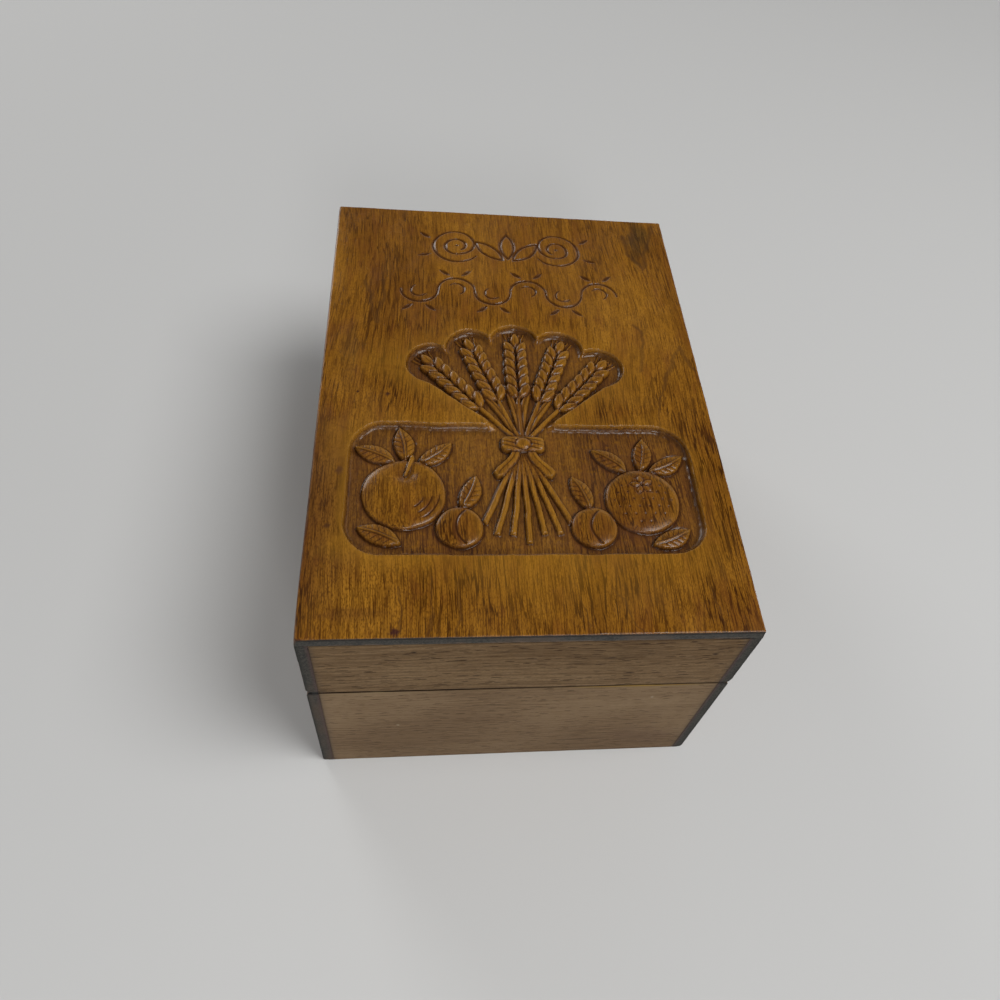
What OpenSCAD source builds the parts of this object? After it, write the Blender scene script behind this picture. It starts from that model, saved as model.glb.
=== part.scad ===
// Recipe card box: a carved wooden box with a lid on two brass butt hinges.
// Millimetres. X runs to the right, Y to the back and Z up.
// The origin is the middle of the box's underside, without the hinges.

/* [Box] */
// Width over the side boards
box_w = 174.6; // [145:0.1:215]
// Depth from the front wall's face to the back wall's face
box_d = 250; // [205:0.1:305]
// Height of the base, from its underside to its rim
base_h = 80.4; // [50:0.1:120]
// Height of the lid, from its rim to the carved face
lid_h = 47.4; // [35:0.1:80]
// Gap between the two rims where the lid rests
rim_gap = 0.2; // [0.1:0.05:0.5]

/* [Boards] */
// Thickness of the side boards
side_t = 4.8; // [4:0.1:9]
// Thickness of the front walls
front_t = 4.8; // [4:0.1:9]
// Thickness of the back walls, which hold the hinge screws
back_t = 6.4; // [5:0.1:10]
// Thickness of the base's floor board
bottom_t = 4.8; // [4:0.1:9]
// Thickness of the carved top board in the middle
top_t = 9.6; // [7.5:0.1:14]
// Thickness of the top board's edge, where it lies on the walls
top_edge_t = 4.8; // [3:0.1:6]
// Gap between the top board's step and the walls around it
step_gap = 0.2; // [0.1:0.05:0.5]
// Radius of the side boards' eased outer corners
ease_r = 1.8; // [0.5:0.1:3]
// Radius of the top board's corners, seen from above
top_corner_r = 1.2; // [0.5:0.1:3]

/* [Carving] */
// Depth of the carved hollow's ground below the top face
carve_depth = 3.4; // [1.5:0.1:4]
// Plain border at each side of the carved hollow
carve_border = 14.3; // [8:0.1:25]
// Plain border in front of the carved hollow
front_border = 35; // [25:0.5:50]
// Plain border behind the incised scrolls
scroll_border = 16; // [8:0.5:25]
// Width of an incised line at the surface
line_w = 1.5; // [0.8:0.1:2.5]
// Depth of an incised line
line_depth = 0.9; // [0.4:0.1:1.5]

/* [Hinges] */
// Length of each hinge along the back
hinge_l = 38; // [26:0.5:60]
// Distance from each side of the box to its hinge
hinge_inset = 22; // [8:0.5:40]
// Height of each hinge leaf from the pin's axis
leaf_h = 15; // [11:0.5:24]
// Thickness of the hinge leaves
leaf_t = 0.9; // [0.7:0.05:1.4]
// Number of knuckles along each hinge
knuckle_n = 5; // [3:2:7]
// Radius of the hinge pins
pin_r = 1; // [0.8:0.05:1.5]
// Clearance around the pin in the lid leaf's knuckles
pin_run = 0.05; // [0.02:0.01:0.1]
// Tightness of the pin in the base leaf's knuckles
pin_press = 0.02; // [0.01:0.01:0.05]
// Gap between neighbouring knuckles
knuckle_gap = 0.2; // [0.1:0.05:0.4]
// Gap left around a turning knuckle
turn_gap = 0.3; // [0.2:0.05:0.5]

/* [Screws] */
// Radius of the screws' heads
head_r = 2.1; // [1.8:0.05:2.6]
// Radius of the screws' threads
thread_r = 1.05; // [0.9:0.05:1.3]
// Radius of the pilot holes that the threads bite into
pilot_r = 0.8; // [0.6:0.05:1]
// Clearance around the heads in the leaves
head_gap = 0.05; // [0.03:0.01:0.1]
// Wood left between a screw's tip and the inside of the back wall
tip_skin = 1; // [0.5:0.1:2]
// Distance between the two screws of a leaf
screw_pitch = 24; // [14:0.5:40]
// Width of the slots in the screws' heads
slot_w = 0.5; // [0.3:0.05:0.8]
// Depth of the slots in the screws' heads
slot_depth = 0.4; // [0.2:0.05:0.6]

/* [Hidden] */
$fn = 64;
eps = 0.5; // how far a cut runs past the face that it opens

// Colours
top_wood = [0.57, 0.36, 0.12];
wall_wood = [0.44, 0.35, 0.27];
side_wood = [0.50, 0.34, 0.17];
inner_wood = [0.55, 0.42, 0.26];
brass = [0.72, 0.57, 0.29];
dull_brass = [0.68, 0.54, 0.28];

// Box
lid_z = base_h + rim_gap;
box_h = lid_z + lid_h;
wall_top_z = box_h - top_edge_t;
front_y = -box_d / 2;
back_y = box_d / 2;
inner_w = box_w - 2 * side_t;
inner_d = box_d - front_t - back_t;
inner_mid_y = (front_t - back_t) / 2;

// Hinges
knuckle_r = pin_r + leaf_t;
axis_y = back_y + knuckle_r + turn_gap;
axis_z = base_h + rim_gap / 2;
hinge_x = box_w / 2 - hinge_inset - hinge_l / 2;
knuckle_l = hinge_l / knuckle_n;
leaf_split = turn_gap / 2;
screw_z = leaf_split + (leaf_h + knuckle_r) / 2;
screw_l = leaf_t + back_t - tip_skin;
shank_r = head_r - leaf_t;

// Carving: drawn about the middle of the top, then scaled to reach no further than the borders
art_w = 146;
art_front = 90;
art_back = 109;
art_scale = min(
    (box_w - 2 * carve_border) / art_w,
    (box_d / 2 - front_border) / art_front,
    (box_d / 2 - scroll_border) / art_back
);
hollow_corner_r = 15;
tray_back = -24;
fan_r = 60;
fan_spare_angle = 10;
scallop_r = 12;

// Wheat: where the sheaf is tied, and its ears, fanned out from there
sheaf = [0, -34];
tie_size = [19, 8];
tie_corner_r = 2.5;
ear_n = 5;
ear_step = 20;
ear_foot = 27;
kernel_pairs = 6;
kernel_step = 5.4;
kernel_size = [9.6, 4.6];
kernel_turn = 26;
stalk_w = 2;
cut_stalk_n = 7;
cut_stalk_step = 8;
cut_stalk_l = 48;

// Fruit and leaves: each fruit's middle and radius, and each leaf's foot and turn
fruits = [[-50, -60, 17], [-28, -76, 9.5], [49, -63, 16], [27, -76, 9.5]];
fruit_edge = 0.8;
leaves = [
    [-54, -44, 66], [-50, -44, 8], [-45, -45, -52], [-51, -84, 66], [-27, -68, -20],
    [54, -48, -62], [50, -48, -10], [44, -48, 50], [50, -85, -66], [26, -68, 20]
];
leaf_size = [18, 8];

// Heights above the hollow's ground
ear_rise = 2.6;
stalk_rise = 1.6;
tie_rise = 3;
fruit_rise = 3;
leaf_rise = 2;

// Incised rows
row_1_y = 96;
row_2_y = 62;
wave_r = 9;
wave_pairs = 3;

// A board's outline with its corners on the +X side rounded: low for the bottom corner, high for the top one
module eased_outline(w, h, low, high) {
    square([w - max(low, high), h]);
    translate([0, low])
        square([w, h - low - high]);
    if (low > 0)
        translate([w - low, low])
            circle(low);
    if (high > 0)
        translate([w - high, h - high])
            circle(high);
}

// A board standing on edge along the right side of the box
module right_side(z, h, low, high) {
    translate([box_w / 2 - side_t, back_y, z])
        rotate([90, 0, 0])
            linear_extrude(box_d)
                eased_outline(side_t, h, low, high);
}

module front_wall(z, h) {
    translate([-inner_w / 2, front_y, z])
        cube([inner_w, front_t, h]);
}

// The back wall with the pilot holes of its hinge screws; up is 1 in the lid and -1 in the base
module back_wall(z, h, up) {
    difference() {
        translate([-inner_w / 2, back_y - back_t, z])
            cube([inner_w, back_t, h]);
        at_screws(up)
            translate([0, 0, -screw_l])
                cylinder(r = pilot_r, h = screw_l + eps);
    }
}

module base_front() {
    color(wall_wood)
        front_wall(0, base_h);
}

module base_back() {
    color(wall_wood)
        back_wall(0, base_h, -1);
}

module base_right_side() {
    color(side_wood)
        right_side(0, base_h, ease_r, ease_r);
}

module base_left_side() {
    color(side_wood)
        mirror([1, 0, 0])
            right_side(0, base_h, ease_r, ease_r);
}

module base_bottom() {
    color(inner_wood)
        translate([-inner_w / 2, front_y + front_t, 0])
            cube([inner_w, inner_d, bottom_t]);
}

module lid_front() {
    color(wall_wood)
        front_wall(lid_z, wall_top_z - lid_z);
}

module lid_back() {
    color(wall_wood)
        back_wall(lid_z, wall_top_z - lid_z, 1);
}

module lid_right_side() {
    color(side_wood)
        right_side(lid_z, wall_top_z - lid_z, ease_r, 0);
}

module lid_left_side() {
    color(side_wood)
        mirror([1, 0, 0])
            right_side(lid_z, wall_top_z - lid_z, ease_r, 0);
}

// The top board lies on the walls, and its step fits in between them
module lid_top_panel() {
    color(top_wood)
        difference() {
            union() {
                translate([0, 0, wall_top_z])
                    linear_extrude(top_edge_t)
                        rounded_rectangle(box_w, box_d, top_corner_r);
                translate([0, inner_mid_y, (box_h - top_t + wall_top_z + eps) / 2])
                    cube(
                        [inner_w - 2 * step_gap, inner_d - 2 * step_gap, top_t - top_edge_t + eps],
                        center = true
                    );
            }
            on_top()
                hollow_with_relief();
            on_top()
                scroll_rows();
        }
}

// Places what is drawn in the carving's own frame, whose Z is 0 at the top face
module on_top() {
    translate([0, 0, box_h])
        scale([art_scale, art_scale, 1])
            children();
}

module rounded_rectangle(w, d, r) {
    square([w - 2 * r, d], center = true);
    square([w, d - 2 * r], center = true);
    for (x = [-1, 1], y = [-1, 1])
        translate([x * (w / 2 - r), y * (d / 2 - r)])
            circle(r);
}

// What is cut away around the raised wheat, fruit and leaves
module hollow_with_relief() {
    difference() {
        translate([0, 0, -carve_depth])
            linear_extrude(carve_depth + eps)
                hollow_outline();
        relief();
    }
}

// A fan with a scallop around each ear, over a wide tray around the fruit
module hollow_outline() {
    half_angle = ear_step * (ear_n - 1) / 2 + fan_spare_angle;
    edge = 2 * fan_r * [sin(half_angle), cos(half_angle)];
    translate([0, (tray_back - art_front) / 2])
        rounded_rectangle(art_w, tray_back + art_front, hollow_corner_r);
    translate(sheaf)
        intersection() {
            circle(fan_r);
            polygon([[0, -8], edge, [0, 2 * fan_r], [-edge[0], edge[1]]]);
        }
    at_ears()
        translate([0, fan_r])
            circle(scallop_r);
}

// One copy of what is given for each ear, turned about the sheaf's tie
module at_ears() {
    for (i = [0 : ear_n - 1])
        translate(sheaf)
            rotate((i - (ear_n - 1) / 2) * ear_step)
                children();
}

module relief() {
    raised(ear_rise)
        at_ears()
            ear_outline();
    raised(stalk_rise)
        stalk_outlines();
    raised(tie_rise)
        translate(sheaf)
            rounded_rectangle(tie_size[0], tie_size[1], tie_corner_r);
    for (fruit = fruits)
        dome(fruit[0], fruit[1], fruit[2], fruit_rise);
    raised(leaf_rise)
        for (leaf = leaves)
            translate([leaf[0], leaf[1]])
                rotate(leaf[2])
                    lens(leaf_size[0], leaf_size[1]);
}

// Stands an outline up from the hollow's ground
module raised(h) {
    translate([0, 0, -carve_depth - eps])
        linear_extrude(h + eps)
            children();
}

// A fruit: a low round edge under the top slice of a large ball
module dome(x, y, r, h) {
    cap_h = h - fruit_edge;
    ball_r = (r * r + cap_h * cap_h) / (2 * cap_h);
    translate([x, y, -carve_depth])
        intersection() {
            translate([0, 0, h - ball_r])
                sphere(ball_r);
            translate([0, 0, -eps])
                cylinder(r = r, h = h + 2 * eps);
        }
}

// A pointed oval along Y from the origin
module lens(l, w) {
    arc_r = (l * l + w * w) / (4 * w);
    shift = arc_r - w / 2;
    intersection() {
        translate([shift, l / 2])
            circle(arc_r);
        translate([-shift, l / 2])
            circle(arc_r);
    }
}

// An ear of wheat: pairs of kernels with one at the tip
module ear_outline() {
    for (k = [0 : kernel_pairs - 1], side = [-1, 1])
        translate([side * stalk_w / 3, ear_foot + k * kernel_step])
            rotate(-side * kernel_turn)
                lens(kernel_size[0], kernel_size[1]);
    translate([0, ear_foot + kernel_pairs * kernel_step - 1])
        lens(kernel_size[0], kernel_size[1]);
}

module stalk_outlines() {
    at_ears()
        translate([-stalk_w / 2, 0])
            square([stalk_w, ear_foot + 2]);
    for (i = [0 : cut_stalk_n - 1])
        let (turn = (i - (cut_stalk_n - 1) / 2) * cut_stalk_step)
            translate(sheaf)
                rotate(180 + turn)
                    translate([-stalk_w / 2, 0])
                        square([stalk_w, cut_stalk_l - abs(turn) / 8]);
}

// Two rows of incised scrolls and leaves behind the hollow
module scroll_rows() {
    for (turn = [-44, 0, 44])
        translate([0, row_1_y - 12])
            rotate(turn)
                incised_petal(4, 19, 7);
    for (side = [0, 1])
        mirror([side, 0, 0])
            translate([26, row_1_y])
                volute();
    for (i = [-wave_pairs : wave_pairs - 1])
        translate([wave_r * (2 * i + 1), row_2_y])
            rotate(i % 2 == 0 ? 0 : 180)
                vine_bend();
}

// A spiral of three arcs around an eye, with two leaves outside it
module volute() {
    incised_arc([0, 0], 12, -140, 226);
    incised_arc([0, 3], 9, 94, 172);
    incised_arc([0, 0], 6, 274, 172);
    incised_dot([0, 1]);
    incised_leaf([13, 6], -50);
    incised_leaf([13, -6], -110);
}

// Half a wave of the vine, over a curl, with a pair of leaves outside it
module vine_bend() {
    incised_arc([0, 0], wave_r, 4, 172);
    incised_arc([0, 1], 4, -60, 200);
    incised_leaf([2.5, wave_r + 1.5], -50);
    incised_leaf([-2.5, wave_r + 1.5], 50);
}

// A V-shaped groove along an arc
module incised_arc(at, r, from, sweep) {
    reach = line_w / 2 * (1 + eps / line_depth);
    translate(at)
        rotate(from)
            rotate_extrude(angle = sweep)
                polygon([[r - reach, eps], [r + reach, eps], [r, -line_depth]]);
}

// The outline of a pointed oval along Y, as two grooves that stop short of its tips
module incised_petal(y, l, w) {
    arc_r = (l * l + w * w) / (4 * w);
    tip_angle = 8;
    half_sweep = asin(l / 2 / arc_r) - tip_angle;
    for (side = [0, 1])
        mirror([side, 0, 0])
            incised_arc([w / 2 - arc_r, y + l / 2], arc_r, -half_sweep, 2 * half_sweep);
}

module incised_leaf(at, turn) {
    translate([at[0], at[1], -line_depth])
        rotate(turn)
            linear_extrude(line_depth + eps)
                lens(8, 2.8);
}

module incised_dot(at) {
    translate([at[0], at[1], -line_depth])
        cylinder(r1 = 0.2, r2 = 1 + eps, h = line_depth + eps);
}

// Puts its children at a leaf's two screws on both hinges, with Z out of the box
module at_screws(up) {
    for (side = [-1, 1], along = [-1, 1])
        translate([side * hinge_x + along * screw_pitch / 2, back_y, axis_z + up * screw_z])
            rotate([-90, 0, 0])
                children();
}

module screw() {
    difference() {
        union() {
            cylinder(r1 = shank_r, r2 = head_r, h = leaf_t);
            translate([0, 0, -screw_l + leaf_t + 2 * thread_r])
                cylinder(r = thread_r, h = screw_l - leaf_t - 2 * thread_r + leaf_t / 2);
            translate([0, 0, -screw_l + leaf_t])
                cylinder(r1 = 0.1, r2 = thread_r, h = 2 * thread_r);
        }
        translate([-head_r - eps, -slot_w / 2, leaf_t - slot_depth])
            cube([2 * (head_r + eps), slot_w, slot_depth + eps]);
    }
}

module base_hinge_screws() {
    color(dull_brass)
        at_screws(-1)
            screw();
}

module lid_hinge_screws() {
    color(dull_brass)
        at_screws(1)
            screw();
}

// A cylinder along X over one knuckle's place; the first place is 0
module knuckle_place(x, i, r, shorter) {
    translate([x - hinge_l / 2 + i * knuckle_l + shorter / 2, axis_y, axis_z])
        rotate([0, 90, 0])
            cylinder(r = r, h = knuckle_l - shorter);
}

// A hinge leaf: up is 1 on the lid and -1 on the base, and first is the place of its first knuckle
module hinge_leaf(x, up, first, bore_r) {
    strip_h = leaf_h - leaf_split;
    strip_z = axis_z + (up > 0 ? leaf_split : -leaf_h);
    difference() {
        union() {
            translate([x - hinge_l / 2, back_y, strip_z])
                cube([hinge_l, leaf_t, strip_h]);
            for (i = [first : 2 : knuckle_n - 1])
                knuckle_place(x, i, knuckle_r, knuckle_gap);
        }
        for (i = [1 - first : 2 : knuckle_n - 1])
            knuckle_place(x, i, knuckle_r + turn_gap, 0);
        translate([x - hinge_l / 2 - eps, axis_y, axis_z])
            rotate([0, 90, 0])
                cylinder(r = bore_r, h = hinge_l + 2 * eps);
        for (along = [-1, 1])
            translate([x + along * screw_pitch / 2, back_y, axis_z + up * screw_z])
                rotate([-90, 0, 0])
                    cylinder(r1 = shank_r + head_gap, r2 = head_r + head_gap, h = leaf_t);
    }
}

module base_leaf(x) {
    color(brass)
        hinge_leaf(x, -1, 0, pin_r - pin_press);
}

module lid_leaf(x) {
    color(brass)
        hinge_leaf(x, 1, 1, pin_r + pin_run);
}

module hinge_pin(x) {
    color(brass)
        translate([x - hinge_l / 2, axis_y, axis_z])
            rotate([0, 90, 0])
                cylinder(r = pin_r, h = hinge_l);
}

module left_hinge_base_leaf() {
    base_leaf(-hinge_x);
}

module right_hinge_base_leaf() {
    base_leaf(hinge_x);
}

module left_hinge_lid_leaf() {
    lid_leaf(-hinge_x);
}

module right_hinge_lid_leaf() {
    lid_leaf(hinge_x);
}

module left_hinge_pin() {
    hinge_pin(-hinge_x);
}

module right_hinge_pin() {
    hinge_pin(hinge_x);
}

base_front();
base_back();
base_left_side();
base_right_side();
base_bottom();
lid_top_panel();
lid_front();
lid_back();
lid_left_side();
lid_right_side();
left_hinge_base_leaf();
left_hinge_lid_leaf();
left_hinge_pin();
right_hinge_base_leaf();
right_hinge_lid_leaf();
right_hinge_pin();
base_hinge_screws();
lid_hinge_screws();
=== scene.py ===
"""Recipe card box: the looks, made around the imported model, in metres and in the model's own frame."""

import math

import bmesh
import bpy
import numpy as np
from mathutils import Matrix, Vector


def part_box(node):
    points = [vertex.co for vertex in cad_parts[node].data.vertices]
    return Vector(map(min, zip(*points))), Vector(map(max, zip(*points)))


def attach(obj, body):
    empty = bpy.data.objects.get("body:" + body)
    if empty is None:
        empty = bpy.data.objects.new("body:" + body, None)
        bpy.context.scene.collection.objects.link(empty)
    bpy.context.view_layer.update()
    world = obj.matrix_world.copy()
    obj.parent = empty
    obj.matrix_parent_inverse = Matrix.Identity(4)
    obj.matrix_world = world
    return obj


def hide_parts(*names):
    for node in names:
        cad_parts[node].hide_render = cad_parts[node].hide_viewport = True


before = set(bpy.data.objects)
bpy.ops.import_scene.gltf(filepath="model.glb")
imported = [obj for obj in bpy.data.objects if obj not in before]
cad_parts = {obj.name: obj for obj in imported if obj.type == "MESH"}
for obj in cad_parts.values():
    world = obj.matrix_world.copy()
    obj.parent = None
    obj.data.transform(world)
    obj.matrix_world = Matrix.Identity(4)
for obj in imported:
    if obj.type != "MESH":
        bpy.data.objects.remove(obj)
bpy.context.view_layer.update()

MM = 0.001

# Camera: its place in metres, its turn in degrees, and its lens and shift on a 36 mm sensor
CAMERA_AT = (-0.043583, -0.256677, 0.402819)
CAMERA_TURN = (37.289, -6.791, -4.388)
CAMERA_LENS = 29.83
CAMERA_SHIFT = (-0.0375, -0.030)

# The carving, in millimetres from the middle of the top face, with X to the right and Y to the back
HOLLOW_DEPTH = 3.4
TRAY_HALF = (73, 33)
TRAY_Y = -57
TRAY_CORNER = 15
SHEAF = (0, -34)
FAN_R = 60
FAN_HALF_ANGLE = 50
SCALLOP_R = 12
EAR_TURNS = (-40, -20, 0, 20, 40)
EAR_FOOT = 27
KERNEL_PAIRS = 6
KERNEL_STEP = 5.4
KERNEL = (9.8, 4.7)
KERNEL_TURN = 26
CUT_STALKS = 7
CUT_STALK_STEP = 8
CUT_STALK_L = 48
TIE_HALF = (9.5, 4)

# Each fruit's kind, middle and radius, and each leaf's foot and turn
FRUITS = (("plum", -28, -76, 9.5), ("plum", 27, -76, 9.5), ("apple", -50, -60, 17), ("quince", 49, -63, 16))
LEAVES = (
    (-54, -44, 66), (-50, -44, 8), (-45, -45, -52), (-51, -84, 66), (-27, -68, -20),
    (54, -48, -62), (50, -48, -10), (44, -48, 50), (50, -85, -66), (26, -68, 20),
)
LEAF = (18.5, 8.4)
LEAF_TOP = -1.25

# Incised rows
ROW_1 = 96
ROW_2 = 62
WAVE_R = 9
WAVE_PAIRS = 3
LINE_HALF = 1.1
LINE_DEPTH = 0.72

# How far the outer faces of the sides and of the front and back lie from the middle, and the heights of the
# top and of the joint between base and lid, in millimetres
SIDE_X = 87.3
FRONT_Y = 125
TOP_Z = 128
JOINT_Z = 80.5

# Radii of the softened edges, of those that are glued to a neighbour, of the side boards' outer long edges
# and of the top board's edges, and the gap between the top board's step and the walls, in millimetres
SOFT_EDGE = 0.4
GLUED_EDGE = 0.12
SIDE_EASE = 1.7
TOP_EASE = 0.9
STEP_GAP = 0.2

# How far in from an edge the wood is shaded as an edge
EDGE_WIDTH = 3

# The three tones of the lid's walls and of the base's, from dark to light
LID_TONES = ((0.13, 0.079, 0.037), (0.162, 0.102, 0.05), (0.195, 0.127, 0.065))
BASE_TONES = ((0.158, 0.101, 0.054), (0.192, 0.127, 0.07), (0.23, 0.157, 0.089))

# Marks of age on the top, on the front walls and on the boards' front ends: place, half sizes, strength
# and colour, in millimetres
TOP_MARKS = (
    ((-52, -122.5), (2.6, 2.2), 0.85, (0.03, 0.007, 0.01)),
    ((-86, -125), (4, 1), 0.8, (0.03, 0.009, 0.007)),
    ((-76, -50), (2.3, 2.9), 0.9, (0.03, 0.007, 0.01)),
    ((-79, -77), (2, 1.6), 0.75, (0.04, 0.013, 0.006)),
    ((-58, -8), (1.5, 1.3), 0.85, (0.03, 0.008, 0.006)),
    ((-71, -7), (1.1, 0.9), 0.85, (0.03, 0.008, 0.006)),
)
LID_MARKS = (
    ((72.5, 109.3), (1.8, 1.4), 0.8, (0.02, 0.011, 0.006)),
    ((-45.2, 116.6), (1.5, 0.8), 0.9, (0.012, 0.008, 0.005)),
    ((30, 108), (4, 1), 0.5, (0.03, 0.018, 0.01)),
    ((77, 122.9), (13, 0.9), 0.9, (0.008, 0.006, 0.005)),
)
BASE_MARKS = (
    ((56.7, 66.6), (1, 1.6), 0.7, (0.26, 0.21, 0.15)),
    ((-52, 42.7), (0.9, 1.1), 0.7, (0.3, 0.25, 0.17)),
    ((33, 16.5), (17, 1.7), 0.45, (0.06, 0.036, 0.02)),
    ((64, 18), (24, 15), 0.22, (0.09, 0.048, 0.034)),
    ((48, 79.4), (36, 0.9), 0.85, (0.27, 0.16, 0.035)),
    ((-58.6, 79.9), (6, 1), 0.55, (0.26, 0.19, 0.1)),
)
END_MARKS = (
    ((-82.4, 120.8), (0.5, 2.2), 0.95, (0.006, 0.005, 0.004)),
    ((83.2, 122.9), (2.5, 0.9), 0.9, (0.008, 0.006, 0.005)),
)

# Darker parts of the top, through which its grain shows: place, half sizes and tint
TOP_SHADES = (
    ((-68, -115), (19, 4), (0.74, 0.71, 0.93)),
    ((-60, 84), (4.5, 15), (0.94, 0.95, 1)),
    ((-67, 60), (5, 30), (0.93, 0.92, 0.97)),
    ((-76, 18), (7, 26), (0.82, 0.82, 0.92)),
    ((-80, -62), (24, 58), (0.58, 0.54, 0.85)),
    ((73, 112), (9, 19), (0.5, 0.56, 1)),
    ((69, 97), (4, 16), (0.62, 0.65, 1)),
)

# How deep marks and shades reach into the wood
PATCH_DEPTH = 9

# Dark lines of the top's figure: half their width and the points that they pass through, in millimetres
TOP_FIGURE = (
    (0.6, ((60.5, -28), (64, -14), (68, -1))),
    (1.2, ((68, -1), (75, 17), (80, 27), (85.5, 12))),
    (1, ((60, 41), (63, 36), (63, 29), (59, 10))),
    (1.3, ((63, 111), (66, 96), (71, 84), (82, 121))),
    (1.1, ((-71, 66), (-64, 37), (-62, 67))),
    (0.5, ((-51, -104), (-50.6, -115), (-49.9, -125))),
    (0.5, ((-38.6, -100), (-39.1, -115), (-39.9, -125))),
    (0.5, ((-28.2, -98), (-29, -115), (-29.8, -125))),
    (0.35, ((15, -101), (18.6, -116), (20.1, -125))),
    (0.4, ((31, -105), (35.2, -116), (38.9, -125))),
    (0.35, ((69, -105), (70.6, -116), (71.4, -125))),
)

# How far the hinges' edges are broken, in millimetres, and the least turn of those that are
BROKEN_EDGE = 0.05
SHARP = math.radians(40)

# Half the width of a carved step, the pitch of the carving's grid, and the part of the top that it covers
STEP_HALF = 0.32
PITCH = 0.4
CARVED_X = (-75.5, 75.5)
CARVED_Y = (-92.5, 112.5)
MOST_TOP_TRIANGLES = 192000


def smoothstep(a, b, v):
    t = np.clip((v - a) / (b - a), 0, 1)
    return t * t * (3 - 2 * t)


def smooth_min(a, b, k):
    h = np.clip(0.5 + 0.5 * (b - a) / k, 0, 1)
    return b * (1 - h) + a * h - k * h * (1 - h)


def cell_value(i, j, seed):
    """A fixed value from 0 to 1 for each cell of a grid."""
    v = np.sin(i * 127.1 + j * 311.7 + seed * 74.7) * 43758.5453
    return v - np.floor(v)


def within_cell(value, i, j, u, v):
    """A value at shares u and v across a cell, between those at its four corners."""
    near = value(i, j) * (1 - u) + value(i + 1, j) * u
    far = value(i, j + 1) * (1 - u) + value(i + 1, j + 1) * u
    return near * (1 - v) + far * v


def value_noise(x, y, size, seed):
    """Smooth noise from -1 to 1 with features about size across."""
    u, v = x / size, y / size
    i, j = np.floor(u), np.floor(v)
    shares = smoothstep(0, 1, u - i), smoothstep(0, 1, v - j)
    return 2 * within_cell(lambda i, j: cell_value(i, j, seed), i, j, *shares) - 1


def gouge_marks(x, y, size, seed):
    """Distance to the nearest of a loose grid of points, in cells: the scoops that a gouge leaves."""
    u, v = x / size, y / size
    i, j = np.floor(u), np.floor(v)
    best = np.full(x.shape, 9)
    for di in (-1, 0, 1):
        for dj in (-1, 0, 1):
            px = i + di + 0.15 + 0.7 * cell_value(i + di, j + dj, seed)
            py = j + dj + 0.15 + 0.7 * cell_value(i + di, j + dj, seed + 5)
            best = np.minimum(best, np.hypot(u - px, v - py))
    return best


def turned(x, y, at, turn):
    """Coordinates in a frame at a point, turned counter-clockwise by some degrees."""
    a = math.radians(turn)
    dx, dy = x - at[0], y - at[1]
    return dx * math.cos(a) + dy * math.sin(a), dy * math.cos(a) - dx * math.sin(a)


def rounded_box(x, y, half, r):
    """Distance to the outline of a rounded rectangle about the origin, negative inside."""
    qx, qy = np.abs(x) - half[0] + r, np.abs(y) - half[1] + r
    return np.hypot(np.maximum(qx, 0), np.maximum(qy, 0)) + np.minimum(np.maximum(qx, qy), 0) - r


def segment(x, y, a, b):
    """Distance to a line from a to b, and how far along it the nearest point is, from 0 to 1."""
    dx, dy = b[0] - a[0], b[1] - a[1]
    t = np.clip(((x - a[0]) * dx + (y - a[1]) * dy) / (dx * dx + dy * dy), 0, 1)
    return np.hypot(x - a[0] - t * dx, y - a[1] - t * dy), t


def lens(x, y, length, width):
    """Distance to the outline of a pointed oval along Y from the origin, negative inside."""
    r = (length * length + width * width) / (4 * width)
    return np.hypot(np.abs(x) + r - width / 2, y - length / 2) - r


def arc(x, y, centre, r, start, sweep):
    """Distance to an arc, and how far along it the nearest point is, from 0 to 1."""
    sign = 1 if sweep > 0 else -1
    span = abs(sweep)
    angle = (sign * (np.degrees(np.arctan2(y - centre[1], x - centre[0])) - start)) % 360
    nearest_end = np.where(angle > (span + 360) / 2, 0, span)
    on = np.where(angle <= span, angle, nearest_end)
    a = np.radians(start + sign * on)
    return np.hypot(x - centre[0] - r * np.cos(a), y - centre[1] - r * np.sin(a)), on / span


def rounded(d, top, fall, width):
    """Heights that are top inside an outline and fall away in a round shoulder towards it."""
    t = np.clip(-d / width, 0, 1)
    return top - fall * (1 - np.sqrt(t * (2 - t)))


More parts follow.
